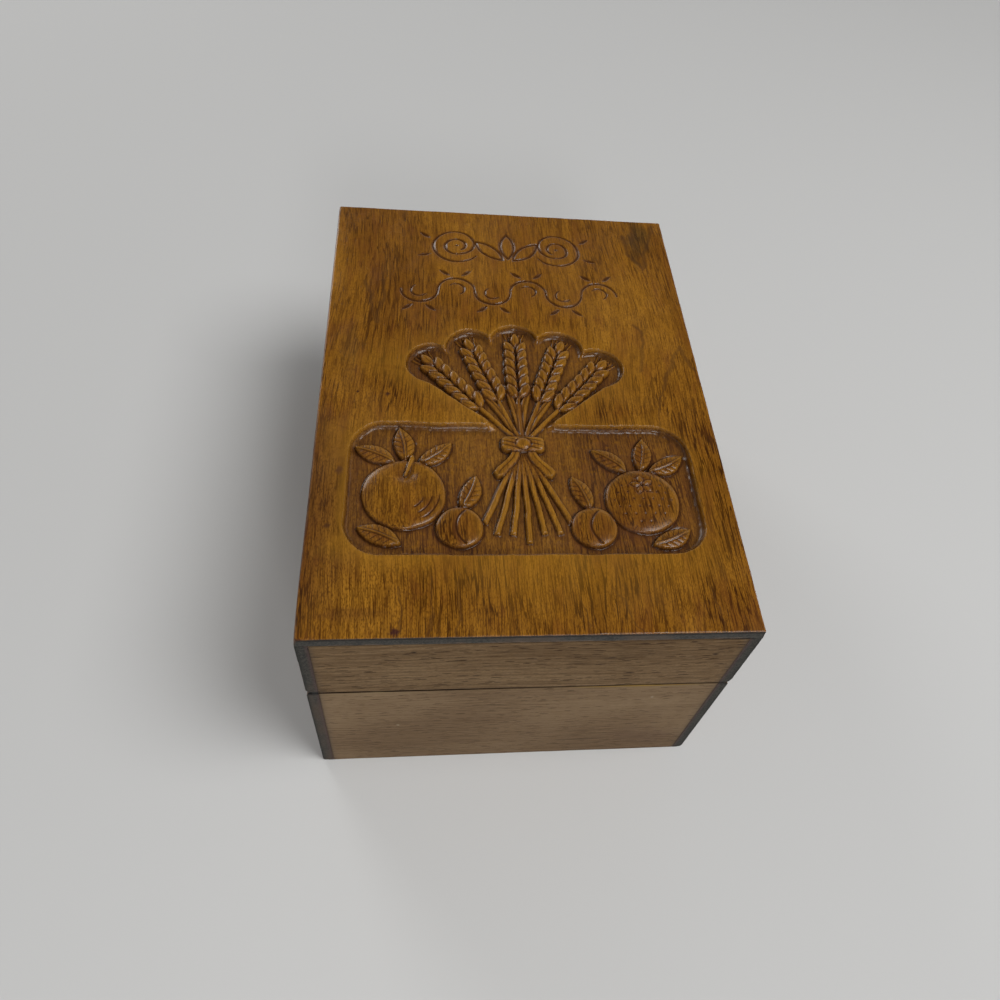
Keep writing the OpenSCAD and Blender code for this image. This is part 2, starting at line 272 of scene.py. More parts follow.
class Carving:
    """The carved face, or a window on it: places, heights below the face, and how dark stain and painted
    shade make each place.
    """

    def __init__(self, x, y, z, stain_and_shade):
        self.x, self.y, self.z, self.stain_and_shade = x, y, z, stain_and_shade

    def near(self, at, reach):
        """The part of the face within reach of a point; what is carved there is carved in the whole."""
        columns = slice(*np.searchsorted(self.x[0], (at[0] - reach, at[0] + reach)))
        rows = slice(*np.searchsorted(self.y[:, 0], (at[1] - reach, at[1] + reach)))
        parts = (a[rows, columns] for a in (self.x, self.y, self.z, self.stain_and_shade))
        return Carving(*parts)

    def turned(self, at, turn, reach):
        """The part of the face within reach of a point, and its uneven places in a frame there."""
        part = self.near(at, reach)
        return (part, *turned(*part.uneven(), at, turn))

    def uneven(self):
        """Places as a hand that isn't quite steady would have drawn them."""
        x = self.x + 0.3 * value_noise(self.x, self.y, 11, 3) + 0.12 * value_noise(self.x, self.y, 4, 8)
        y = self.y + 0.3 * value_noise(self.x, self.y, 12, 4) + 0.12 * value_noise(self.x, self.y, 4, 9)
        return x, y

    def put(self, d, heights, groove=0.45, reach=1.2):
        """Lays a raised piece over what is there, with a groove set in around it."""
        around = np.clip(1 - np.maximum(d, 0) / reach, 0, 1) ** 1.3
        self.z -= groove * around * (d > -STEP_HALF)
        # The groove around the piece is darkened: stain, and painted shade.
        self.stain_and_shade[:] = np.maximum(self.stain_and_shade, np.clip(1.35 * around, 0, 1) * (d > 0))
        share = smoothstep(STEP_HALF, -STEP_HALF, d)
        self.z[:] = self.z * (1 - share) + heights * share
        self.stain_and_shade *= 1 - smoothstep(0, -0.8, d)

    def cut(self, d, half, depth, where=1):
        """Cuts a V-shaped groove along the line that d is the distance to."""
        v = np.clip(1 - d / half, 0, 1) * where
        self.z -= depth * v
        # The groove is darkened: stain, and painted shade.
        self.stain_and_shade[:] = np.maximum(self.stain_and_shade, smoothstep(0.05, 0.7, v))


def hollow_edge(x, y):
    """Distance to the hollow's outline, negative inside."""
    tray = rounded_box(x, y - TRAY_Y, TRAY_HALF, TRAY_CORNER)
    dx, dy = x - SHEAF[0], y - SHEAF[1]
    out = np.hypot(dx, dy)
    past = np.degrees(np.arctan2(np.abs(dx), dy)) - FAN_HALF_ANGLE
    fan = np.maximum(out - FAN_R, out * np.sin(np.radians(np.clip(past, -90, 90))))
    for turn in EAR_TURNS:
        u, v = turned(x, y, SHEAF, turn)
        fan = smooth_min(fan, np.hypot(u, v - FAN_R) - SCALLOP_R, 1.6)
    return smooth_min(tray, fan, 4)


def carve_leaf(face, x, y, turn):
    length, width = LEAF
    c, u, v = face.turned((x, y), turn, length + 3)
    u = u - 0.9 * np.sin(np.clip(v / length, 0, 1) * math.pi)
    teeth = 0.35 * np.abs((v / 2.4) % 1 - 0.5) * smoothstep(0, 4, v) * smoothstep(length, length - 4, v)
    d = lens(u, v, length, width) + teeth
    side = np.clip(np.abs(u) / (width / 2), 0, 1)
    heights = LEAF_TOP - 0.9 * side ** 1.5 + 0.35 * smoothstep(0.75, 0.1, np.abs(u))
    heights -= 0.5 * smoothstep(length * 0.6, length, v) + 0.4 * smoothstep(length * 0.2, 0, v)
    c.put(d, heights)
    inside = smoothstep(0.2, -0.8, d)
    c.cut(np.abs(np.abs(u) - 0.55), 0.4, 0.3, inside)
    vein = np.abs(((v - 0.75 * np.abs(u)) / 2.6) % 1 - 0.5) * 2.6
    c.cut(vein, 0.38, 0.28, inside * smoothstep(0.6, 1.2, np.abs(u)))


def carve_stalk(face, turn, start, end, half, top):
    c, u, v = face.turned(SHEAF, turn, end + 2)
    d = np.maximum(np.abs(u) - half, np.maximum(start - v, v - end))
    c.put(d, rounded(d, top, 0.65, half), 0.25, 0.7)


def carve_blade(face, turn):
    """A long narrow leaf of the wheat, standing between two ears."""
    c, u, v = face.turned(SHEAF, turn, 42)
    u = u - 1.6 * np.sin(np.clip((v - 4) / 32, 0, 1) * math.pi) * math.copysign(1, turn)
    d = lens(u, v - 4, 33, 3.6)
    c.put(d, rounded(d, -1.7, 0.5, 1.4), 0.25, 0.7)
    c.cut(np.abs(u), 0.4, 0.35, smoothstep(0.1, -0.7, d))


def carve_kernel(face, turn, foot, side):
    a = math.radians(turn)
    at = (SHEAF[0] - foot * math.sin(a), SHEAF[1] + foot * math.cos(a))
    c, u, v = face.turned(at, turn, KERNEL[0] + 3)
    u, v = turned(u, v, (side * 0.67, 0), -side * KERNEL_TURN)
    d = lens(u, v, *KERNEL)
    c.put(d, rounded(d, -0.7, 1.3, 2) - 0.5 * smoothstep(4.5, 0, v), 0.3, 0.7)
    c.cut(np.abs(u - side * 0.3), 0.3, 0.25, smoothstep(0.2, -1, d) * smoothstep(2, 4, v))


def carve_beard(face, turn):
    """Fine bristles beyond an ear's last kernels."""
    c, u, v = face.turned(SHEAF, turn, 74)
    for lean in (-16, -9, -3, 3, 9, 16):
        bu, bv = turned(u, v, (0, 52), lean)
        d = np.hypot(bu, np.maximum(np.maximum(8 - bv, bv - 17), 0)) - 0.35
        c.put(d, np.full_like(u, -2.5), 0.2, 0.6)


def carve_ear(face, turn):
    carve_stalk(face, turn, 3, EAR_FOOT + 4, 1.05, -1.75)
    carve_beard(face, turn)
    carve_kernel(face, turn, EAR_FOOT + KERNEL_PAIRS * KERNEL_STEP - 1, 0)
    for pair in reversed(range(KERNEL_PAIRS)):
        for side in (-1, 1):
            carve_kernel(face, turn, EAR_FOOT + pair * KERNEL_STEP, side)


def carve_fruit(face, kind, x, y, size):
    c, u, v = face.turned((x, y), 0, size + 5)
    out = np.hypot(u, v)
    d = out - size
    top, fall = (-0.7, 1.8) if kind == "plum" else (-0.35, 2.3)
    heights = top - fall * (1 - np.sqrt(np.maximum(1 - np.clip(out / size, 0, 1) ** 2, 0.02)))
    if kind == "apple":
        heights -= 1.5 * np.exp(-(np.hypot(u - 0.5, 1.25 * (v - size * 0.52)) / (size * 0.27)) ** 2)
    c.put(d, heights, 0.4, 1.2)
    details = {"apple": carve_apple, "plum": carve_plum, "quince": carve_quince}
    details[kind](c, u, v, size, top)


def carve_apple(c, u, v, size, top):
    """Three curved cuts low on the side, and the stem in its pit."""
    angle = np.degrees(np.arctan2(v, u))
    for i, share in enumerate((0.5, 0.68, 0.84)):
        on = smoothstep(26 + 6 * i, 14, np.abs(angle + 42 - 6 * i))
        c.cut(np.abs(np.hypot(u, v) - size * share), 0.5, 0.35, on)
    d, t = segment(u, v, (0.4, size * 0.5), (2.8, size * 1.02))
    c.put(d - (0.6 + 0.45 * t), np.full_like(u, top + 0.05), 0.3, 0.8)


def carve_plum(c, u, v, size, top):
    """The crease down one side."""
    d = arc(u, v, (size * 0.9, 0), size * 1.05, 130, 100)[0]
    c.cut(d, 0.7, 0.5, smoothstep(0, -1.5, np.hypot(u, v) - size))


def carve_quince(c, u, v, size, top):
    """Rows of fine pits around the star of dry petals at the top."""
    for i in range(-3, 4):
        for j in range(-3, 4):
            px, py = 4.1 * i + 2 * (j % 2), 3.7 * j
            if math.hypot(px, py) < size - 3.4:
                c.cut(np.hypot(u - px, v - py), 0.65, 0.45)
    for i in range(5):
        cu, cv = turned(u, v, (0.5, size * 0.45), i * 72 + 10)
        star = lens(cu, cv, 5.2, 2.6)
        c.put(star, rounded(star, top + 0.12, 0.7, 1.3), 0.35, 0.7)
    c.cut(np.hypot(u - 0.5, v - size * 0.45), 0.9, 0.8)


def carve_tie(face):
    """A band wound round the stalks, with a knot and two hanging ends."""
    c, u, v = face.turned(SHEAF, 0, 26)
    for side in (-1, 1):
        tu, tv = turned(u, v, (side * 3, -1), 180 + side * 24)
        tu = tu - 1.2 * side * np.sin(tv / 3.6)
        d = np.maximum(np.abs(tu) - 1.7 - 0.05 * tv, np.maximum(-tv, tv - 19 + 0.9 * np.abs(tu)))
        c.put(d, rounded(d, -0.85, 0.5, 1.2), 0.35, 0.9)
        c.cut(np.abs(tu), 0.35, 0.25, smoothstep(0.2, -0.8, d))
    band = rounded_box(u, v, TIE_HALF, 2.5)
    c.put(band, rounded(band, -0.4, 1.1, 2.4), 0.45, 1.1)
    wrap = np.abs(((v + 0.25 * u) / 2.1) % 1 - 0.5) * 2.1
    c.cut(wrap, 0.45, 0.35, smoothstep(0.3, -0.9, band))
    knot = np.hypot(u * 0.9, v) - 3.1
    c.put(knot, rounded(knot, -0.05, 1.2, 2.6), 0.4, 0.8)


def incise_arc(face, centre, r, start, sweep, half=LINE_HALF):
    """A groove along an arc, cut deeper and wider in the middle of the stroke."""
    c = face.near(centre, r + 2)
    x, y = c.uneven()
    d, t = arc(x, y, centre, r, start, sweep)
    swell = 0.55 + 0.45 * np.sin(np.clip(t, 0.02, 0.98) * math.pi) ** 0.6
    swell = swell * (1 + 0.12 * value_noise(x, y, 5, 12))
    c.cut(d, half * swell, LINE_DEPTH * swell)


def incise_leaf(face, at, turn):
    c, u, v = face.turned(at, turn, 10)
    d = lens(u, v, 8, 2.8)
    t = np.clip(-d / 1.4, 0, 1)
    c.z -= LINE_DEPTH * t
    # The cut is darkened: stain, and painted shade.
    c.stain_and_shade[:] = np.maximum(c.stain_and_shade, smoothstep(0.05, 0.5, t))


def incise_petal(face, turn):
    a = math.radians(turn)
    at = (-4 * math.sin(a), ROW_1 - 12 + 4 * math.cos(a))
    c, u, v = face.turned(at, turn, 23)
    c.cut(np.abs(lens(u, v, 19, 7)), LINE_HALF, LINE_DEPTH)


def incise_volute(face, side):
    """A spiral of four arcs around an eye, with two leaves outside it; side is 1 or -1."""
    x = side * 26
    arcs = ((0, 12, -144, 234), (3, 9, 90, 180), (0, 6, 270, 180), (1.5, 4.5, 90, 150))
    for up, r, start, sweep in arcs:
        start = start if side > 0 else 180 - start
        incise_arc(face, (x, ROW_1 + up), r, start, side * sweep)
    c = face.near((x, ROW_1), 4)
    c.cut(np.hypot(c.x - x, c.y - ROW_1 - 1), 1.1, 0.9)
    for up, turn in ((6, 50), (-6, 110)):
        incise_leaf(face, (x + side * 13, ROW_1 + up), -side * turn)


def incise_bend(face, x, up):
    """Half a wave of the vine, over a curl, with a pair of leaves outside it; up is 1 or -1."""
    base = 0 if up > 0 else 180
    incise_arc(face, (x, ROW_2), WAVE_R, base, 180)
    incise_arc(face, (x, ROW_2 + up), 4, base - 60, 200, 0.7)
    for side in (-1, 1):
        incise_leaf(face, (x + up * side * 2.5, ROW_2 + up * (WAVE_R + 1.5)), base - side * 50)


def carve(xs, ys):
    """Heights, and the darkness of stain and painted shade, over the top face, for a grid of places in
    millimetres.
    """
    x, y = np.meshgrid(xs, ys)
    face = Carving(x, y, np.zeros_like(x), np.zeros_like(x))
    edge = hollow_edge(*face.uneven())
    scoops = 0.42 * np.minimum(gouge_marks(x, y, 3.4, 1), 0.75) ** 2
    ground = scoops + 0.12 * value_noise(x, y, 9, 6) - HOLLOW_DEPTH
    wall = np.sqrt(1 - np.clip(edge / 2.6 + 1, 0, 1) ** 2)
    plain = np.where(edge < 0, ground * wall, 0)
    face.z[:] = plain
    for turn in (-30, -10, 10, 30):
        carve_blade(face, turn)
    for leaf in LEAVES:
        carve_leaf(face, *leaf)
    for i in range(CUT_STALKS):
        turn = (i - (CUT_STALKS - 1) / 2) * CUT_STALK_STEP
        length = CUT_STALK_L - abs(turn) / 8 - (1.2, -1.2)[i % 2]
        carve_stalk(face, 180 + turn, 3, length, 1.25, -1.6 - 0.12 * (i % 2))
    for turn in sorted(EAR_TURNS, key=abs, reverse=True):
        carve_ear(face, turn)
    for fruit in FRUITS:
        carve_fruit(face, *fruit)
    carve_tie(face)
    inside = smoothstep(0.25, -0.4, edge)
    face.z[:] = plain * (1 - inside) + np.minimum(face.z, -0.02) * inside
    face.stain_and_shade *= inside
    face.z -= 0.12 * smoothstep(-1.2, 0, edge) * smoothstep(0.9, 0, edge)
    for turn in (-44, 0, 44):
        incise_petal(face, turn)
    for side in (-1, 1):
        incise_volute(face, side)
    for i in range(-WAVE_PAIRS, WAVE_PAIRS):
        incise_bend(face, WAVE_R * (2 * i + 1), 1 if i % 2 == 0 else -1)
    face.stain_and_shade *= 1 - 0.2 * (edge > 1)
    return face.z, face.stain_and_shade


def box_grid(lines, sides):
    """Points and quads over the chosen sides of a box, with grid lines given on each of the three axes.
    A side is an axis and an end, such as (2, 1) for the top."""
    counts = [len(line) for line in lines]
    number = np.arange(np.prod(counts)).reshape(counts)
    quads = []
    for axis, end in sides:
        ids = np.take(number, -end, axis=axis)
        quad = np.stack([ids[:-1, :-1], ids[1:, :-1], ids[1:, 1:], ids[:-1, 1:]], -1).reshape(-1, 4)
        quads.append(quad if (axis == 1) != (end == 1) else quad[:, ::-1])
    used, quads = np.unique(np.concatenate(quads), return_inverse=True)
    at = np.unravel_index(used, counts)
    points = np.stack([np.asarray(line)[i] for line, i in zip(lines, at)], 1)
    return points, quads.reshape(-1, 4), np.stack(at, 1)


ALL_SIDES = [(axis, end) for axis in range(3) for end in (0, 1)]


def eased_lines(low, high, radii, step):
    """Grid lines from low to high: close together over the rounding at each end, then about step apart."""
    share = np.array([0, 0.09, 0.2, 0.34, 0.48, 0.67, 1])
    reach = np.minimum(1.5 * np.array(radii), 0.45 * (high - low))
    start, end = low + share * reach[0], high - share[::-1] * reach[1]
    count = max(2, round((end[0] - start[-1]) / step) + 1)
    return np.concatenate([start, np.linspace(start[-1], end[0], count)[1:-1], end])


def round_edges(points, low, high, radii):
    """Rounds a box's edges; radii holds each point's own, on each axis."""
    inner = np.clip(points, low + radii, high - radii)
    reach = (points - inner) / radii
    return inner + radii * reach / np.maximum(np.linalg.norm(reach, axis=1, keepdims=True), 1)


def edge_nearness(points, low, high):
    """From 0 to 1, how near each point of a box's surface is to an edge."""
    gaps = np.sort(np.concatenate([points - low, high - points], axis=1), axis=1)
    return np.clip(1 - gaps[:, 1] / EDGE_WIDTH, 0, 1)


def add_layers(mesh, layers):
    """Gives a mesh values at its points, for its material to read."""
    for key, values in layers.items():
        layer = mesh.attributes.new(key, "FLOAT", "POINT")
        layer.data.foreach_set("value", values.astype(np.float32))


def add_object(name, data):
    made = bpy.data.objects.new(name, data)
    bpy.context.scene.collection.objects.link(made)
    return made


def new_mesh(name, points, faces, material):
    """A mesh from points in millimetres."""
    mesh = bpy.data.meshes.new(name)
    mesh.from_pydata((points * MM).tolist(), [], faces)
    mesh.materials.append(material)
    return mesh


def new_piece(name, points, faces, material, slot, body, replaced, **attributes):
    """A smooth mesh from points in millimetres, which rides on a body and stands for a CAD node."""
    mesh = new_mesh(name, points, faces, material)
    add_layers(mesh, attributes)
    mesh.shade_smooth()
    piece = add_object(name, mesh)
    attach(piece, body)
    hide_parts(replaced)
    return piece


def corners_mm(node):
    return tuple(np.array(corner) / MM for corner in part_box(node))


def board(node, body, material, slot, ease):
    """A wall or floor board with softened, unevenly worn edges; ease gives the radii at a point."""
    low, high = corners_mm(node)
    middle = (low + high) / 2
    corners = np.stack([low, high], 1)
    largest = max(np.max(ease(axis, corners, middle)) for axis in range(3))
    lines = [eased_lines(low[axis], high[axis], (largest, largest), 2.5) for axis in range(3)]
    points, quads, _ = box_grid(lines, ALL_SIDES)
    wear = 1 + 0.3 * value_noise(points[:, 0] + points[:, 2], points[:, 1] + 0.7 * points[:, 2], 7, 21)
    radii = np.stack([ease(axis, points.T, middle) * wear for axis in range(3)], 1)
    radii = np.minimum(radii, (high - low) * 0.49)
    near = edge_nearness(points, low, high)
    points = round_edges(points, low, high, radii)
    return new_piece(node + "_board", points, quads.tolist(), material, slot, body, node, edge=near)


def rim_share(point):
    """1 at the joint between base and lid, and 0 away from it."""
    return np.exp(-((point[2] - JOINT_Z) / 5) ** 2)


def side_ease(axis, point, middle):
    """Radii of a side board: its outer long edges are eased, most at the joint with the lid."""
    outer = np.abs(point[0]) > np.abs(middle[0])
    under_top = point[2] > JOINT_Z + 30
    eased = np.where(under_top, GLUED_EDGE, SIDE_EASE + 1.1 * rim_share(point))
    plain = (GLUED_EDGE, GLUED_EDGE, SOFT_EDGE)[axis]
    return np.where(outer & (axis != 1), eased, plain)


def wall_ease(axis, point, middle):
    """Radii of a front or back wall: its ends and the lid's top edge are glued, and the rest is softened."""
    glued = (axis == 0) | ((axis == 2) & (point[2] > JOINT_Z + 30))
    return np.where(glued, GLUED_EDGE, SOFT_EDGE + 0.3 * rim_share(point))


def floor_ease(axis, point, middle):
    return np.full(np.shape(point[0]), GLUED_EDGE)


def top_lines(low, high, carved_low, carved_high):
    """Grid lines across the top board: fine over the carving and at the rounded edges, coarse between."""
    front = eased_lines(low, carved_low, (TOP_EASE, PITCH), 2)
    carved = np.arange(carved_low, carved_high, PITCH)
    back = eased_lines(carved_high, high, (PITCH, TOP_EASE), 2)
    return np.concatenate([front[:-1], carved, back])


def blurred(values, cells):
    """A soft average over a number of cells each way, taken twice along each axis in turn."""
    for _ in range(4):
        total = np.cumsum(np.pad(values, ((cells, cells), (0, 0)), "edge"), axis=0)
        values = ((total[2 * cells:] - total[:-2 * cells]) / (2 * cells)).T
    return values


def sampled(xs, ys, table, x, y):
    """Values of a table over a grid of places, read between its points."""
    i = np.clip(np.searchsorted(xs, x) - 1, 0, len(xs) - 2)
    j = np.clip(np.searchsorted(ys, y) - 1, 0, len(ys) - 2)
    u = np.clip((x - xs[i]) / (xs[i + 1] - xs[i]), 0, 1)
    v = np.clip((y - ys[j]) / (ys[j + 1] - ys[j]), 0, 1)
    return within_cell(lambda i, j: table[j, i], i, j, u, v)


def add_underside(points, faces, index, counts, inner_low, inner_high, bottom):
    """Closes the open bottom of the top board's grid down to the step that fits between the walls."""
    nx, ny = counts[0] - 1, counts[1] - 1
    walk = [(i, 0) for i in range(nx)] + [(nx, j) for j in range(ny)]
    walk += [(i, ny) for i in range(nx, 0, -1)] + [(0, j) for j in range(ny, 0, -1)]
    at = {(int(i), int(j)): n for n, (i, j, k) in enumerate(index) if k == 0}
    rim = [at[place] for place in walk]
    outer = points[rim]
    centre = (inner_low + inner_high) / 2
    shrink = (inner_high - inner_low)[:2] / (outer.max(0) - outer.min(0))[:2]
    rings = [rim]
    for z in (outer[0, 2], bottom):
        ring = outer.copy()
        ring[:, :2] = centre[:2] + (outer[:, :2] - (outer.max(0) + outer.min(0))[:2] / 2) * shrink
        ring[:, 2] = z
        rings.append(list(range(len(points), len(points) + len(ring))))
        points = np.concatenate([points, ring])
    for a, b in zip(rings, rings[1:]):
        for n in range(len(rim)):
            m = (n + 1) % len(rim)
            faces.append((a[m], a[n], b[n], b[m]))
    faces.append(tuple(reversed(rings[-1])))
    return points, faces


def thin_out(piece, most):
    """Joins triangles where the surface is flat until there are no more than this many."""
    piece.data.calc_loop_triangles()
    count = len(piece.data.loop_triangles)
    if count <= most:
        return
    thinner = piece.modifiers.new("thinner", "DECIMATE")
    thinner.ratio = most / count
    bpy.context.view_layer.objects.active = piece
    with bpy.context.temp_override(object=piece):
        bpy.ops.object.modifier_apply(modifier=thinner.name)


def flat_stays_flat(piece):
    """Weighs normals by area, so that the wide flats next to fine cuts keep their own."""
    piece.modifiers.new("normals", "WEIGHTED_NORMAL").weight = 90


def rows_of(parts, key):
    """A vector of each of a mesh's vertices or polygons."""
    values = np.empty(3 * len(parts))
    parts.foreach_get(key, values)
    return values.reshape(-1, 3)


def carved_top(material, under_material):
    low, high = corners_mm("lid_top_panel")
    wall_top = corners_mm("lid_front")[1][2]
    body_low, body_high = corners_mm("base_bottom")
    xs = top_lines(low[0], high[0], *CARVED_X)
    ys = top_lines(low[1], high[1], *CARVED_Y)
    heights, stain_and_shade = carve(xs, ys)
    zs = eased_lines(wall_top, high[2], (GLUED_EDGE, TOP_EASE), 1.2)
    sides = [side for side in ALL_SIDES if side != (2, 0)]
    points, quads, index = box_grid((xs, ys, zs), sides)
    on_face = points[:, 2] > high[2] - 1e-6
    edge_low = np.array([low[0], low[1], wall_top])
    up = smoothstep(0.1, 0.7, (points[:, 2] - wall_top) / (high[2] - wall_top))
    radii = np.repeat((GLUED_EDGE + (TOP_EASE - GLUED_EDGE) * up)[:, None], 3, axis=1)
    wear = 1 + 0.25 * value_noise(points[:, 0], points[:, 1], 9, 31)
    worn_corner = np.exp(-(np.hypot(points[:, 0] - low[0], points[:, 1] - low[1]) / 9) ** 2)
    radii *= (wear + 1.3 * worn_corner)[:, None]
    radii[:, 2] = np.minimum(radii[:, 2], (high[2] - wall_top) * 0.45)
    points = round_edges(points, edge_low, high, radii)
    points[on_face, 2] += heights[index[on_face, 1], index[on_face, 0]]
    step = body_low + STEP_GAP, body_high - STEP_GAP, low[2]
    points, faces = add_underside(points, quads.tolist(), index, (len(xs), len(ys)), *step)
    piece = new_piece("carved_top", points, faces, material, "top_wood", "lid", "lid_top_panel")
    thin_out(piece, MOST_TOP_TRIANGLES)
    piece.data.materials.append(under_material)
    downward = rows_of(piece.data.polygons, "normal")[:, 2] < -0.5
    piece.data.polygons.foreach_set("material_index", downward.astype(np.int32))
    kept = rows_of(piece.data.vertices, "co") / MM
    on_top = kept[:, 2] > high[2] - HOLLOW_DEPTH - 1.2
    around = blurred(heights, max(2, round(1.6 / PITCH)))
    layers = {
        # Darkness of the grooves and cut lines: stain, and painted shade.
        "stain_and_shade": stain_and_shade,
        "depth": np.clip(-heights / HOLLOW_DEPTH, 0, 1),
        # Painted shade where the surface lies below its surroundings.
        "cavity_shade": np.clip(around - heights, 0, 1.2) / 1.2,
        "crest": np.clip(heights - around, 0, 0.8) / 0.8,
        "halo": np.clip(2.2 * blurred(stain_and_shade, max(2, round(1 / PITCH))), 0, 1),
    }
    layers = {key: sampled(xs, ys, table, *kept.T[:2]) * on_top for key, table in layers.items()}
    near = edge_nearness(np.clip(kept, edge_low, high), edge_low, high)
    add_layers(piece.data, {**layers, "edge": near})
    flat_stays_flat(piece)


def worked_brass(node, material, slot):
    """A copy of a hinge's piece with its sharp edges broken, which stands for it."""
    made = bmesh.new()
    made.from_mesh(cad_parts[node].data)
    bmesh.ops.scale(made, vec=(1 / MM,) * 3, verts=made.verts)
    bmesh.ops.remove_doubles(made, verts=made.verts, dist=0.001)
    sharp = [edge for edge in made.edges if edge.calc_face_angle(0) > SHARP]
    bmesh.ops.bevel(made, geom=sharp, offset=BROKEN_EDGE, segments=2, profile=0.5, affect="EDGES")
    bmesh.ops.remove_doubles(made, verts=made.verts, dist=0.001)
    bmesh.ops.dissolve_degenerate(made, edges=made.edges, dist=0.001)
    bmesh.ops.triangulate(made, faces=made.faces)
    points = np.array([vertex.co for vertex in made.verts])
    faces = [[vertex.index for vertex in face.verts] for face in made.faces]
    made.free()
    body = "lid" if "lid" in node else "base"
    flat_stays_flat(new_piece(node + "_worked", points, faces, material, slot, body, node))


class Graph:
    """The nodes of a new material, or of a world, made with short calls that each return an output."""

    def __init__(self, name, kind=bpy.data.materials, shader="Principled BSDF"):
        self.owner = kind.new(name)
        self.owner.use_nodes = True
        self.nodes = self.owner.node_tree.nodes
        self.links = self.owner.node_tree.links
        self.shader = self.nodes[shader]

    def node(self, kind, *inputs, output=0, **settings):
        made = self.nodes.new(kind)
        for key, value in settings.items():
            setattr(made, key, value)
        for socket, value in zip(made.inputs, inputs):
            self.plug(socket, value)
        return made.outputs[output]

    def plug(self, socket, value):
        if isinstance(value, bpy.types.NodeSocket):
            self.links.new(value, socket)
        elif value is not None:
            socket.default_value = (*value, 1) if socket.type == "RGBA" else value

    def set(self, **inputs):
        """Sets or links the shader's own inputs; an underscore stands for a space."""
        for key, value in inputs.items():
            self.plug(self.shader.inputs[key.replace("_", " ")], value)

    def math(self, operation, a, b=0, c=0):
        return self.node("ShaderNodeMath", a, b, c, operation=operation)

    def add(self, a, b):
        return self.math("ADD", a, b)

    def times(self, a, b, plus=None):
        return self.math("MULTIPLY", a, b) if plus is None else self.math("MULTIPLY_ADD", a, b, plus)

    def vector(self, operation, a, b=(0, 0, 0), c=(0, 0, 0)):
        output = 1 if operation in ("LENGTH", "DISTANCE", "DOT_PRODUCT") else 0
        return self.node("ShaderNodeVectorMath", a, b, c, output=output, operation=operation)

    def band(self, value, low, high, to=(0, 1)):
        """Eases from the first of two results to the second as a value goes from low to high."""
        return self.node("ShaderNodeMapRange", value, low, high, *to, interpolation_type="SMOOTHSTEP")

    def noise(self, places, scale, detail=2, roughness=0.5):
        """Noise from 0 to 1; scale is how fine it is on each axis."""
        places = self.vector("MULTIPLY", places, scale)
        return self.node("ShaderNodeTexNoise", places, None, 1, detail, roughness)

    def ramp(self, value, *stops):
        """Values or colours at given places between 0 and 1."""
        made = self.node("ShaderNodeValToRGB", value)
        elements = made.node.color_ramp.elements
        elements[0].position, elements[1].position = stops[0][0], stops[-1][0]
        for place, _ in stops[1:-1]:
            elements.new(place)
        for element, (_, result) in zip(elements, stops):
            element.color = (*(result if isinstance(result, tuple) else (result,) * 3), 1)
        return made

    def mix(self, share, a, b, blend="MIX"):
        """A colour between two others, or the first one blended with the second."""
        scalars_and_vectors = (None,) * 5
        return self.node("ShaderNodeMix", share, *scalars_and_vectors, a, b,
                         output=2, data_type="RGBA", blend_type=blend)

    def over(self, colour, *layers):
        """Lays others over a colour, each given as a share, a strength and its colour."""
        for share, strength, layer in layers:
            colour = self.mix(self.times(share, strength), colour, layer)
        return colour

    def attribute(self, name):
        return self.node("ShaderNodeAttribute", attribute_name=name, output=2)

    def places(self):
        """The point in the box's frame, in millimetres."""
        coordinates = self.node("ShaderNodeTexCoord", output=3)
        return self.vector("MULTIPLY", coordinates, (1 / MM,) * 3)

    def split(self, vector):
        return self.node("ShaderNodeSeparateXYZ", vector).node.outputs

    def patch(self, places, at, half):
        """1 within an uneven oval, fading towards its half sizes."""
        share = self.vector("DIVIDE", self.vector("SUBTRACT", places, at), half)
        away = self.vector("LENGTH", share)
        wobble = self.noise(share, (1.6,) * 3)
        return self.band(self.times(wobble, 1.2, away), 1.6, 0.9)

    def stroke(self, places, a, b):
        """How far each place is from the straight line from a to b."""
        along = Vector(b) - Vector(a)
        away = self.vector("SUBTRACT", places, (*a, 0))
        scaled = (*along / along.length_squared, 0)
        share = self.vector("DOT_PRODUCT", away, scaled)
        share = self.math("MINIMUM", self.math("MAXIMUM", share), 1)
        nearest = self.vector("MULTIPLY", share, (*along, 0))
        return self.vector("DISTANCE", away, nearest)


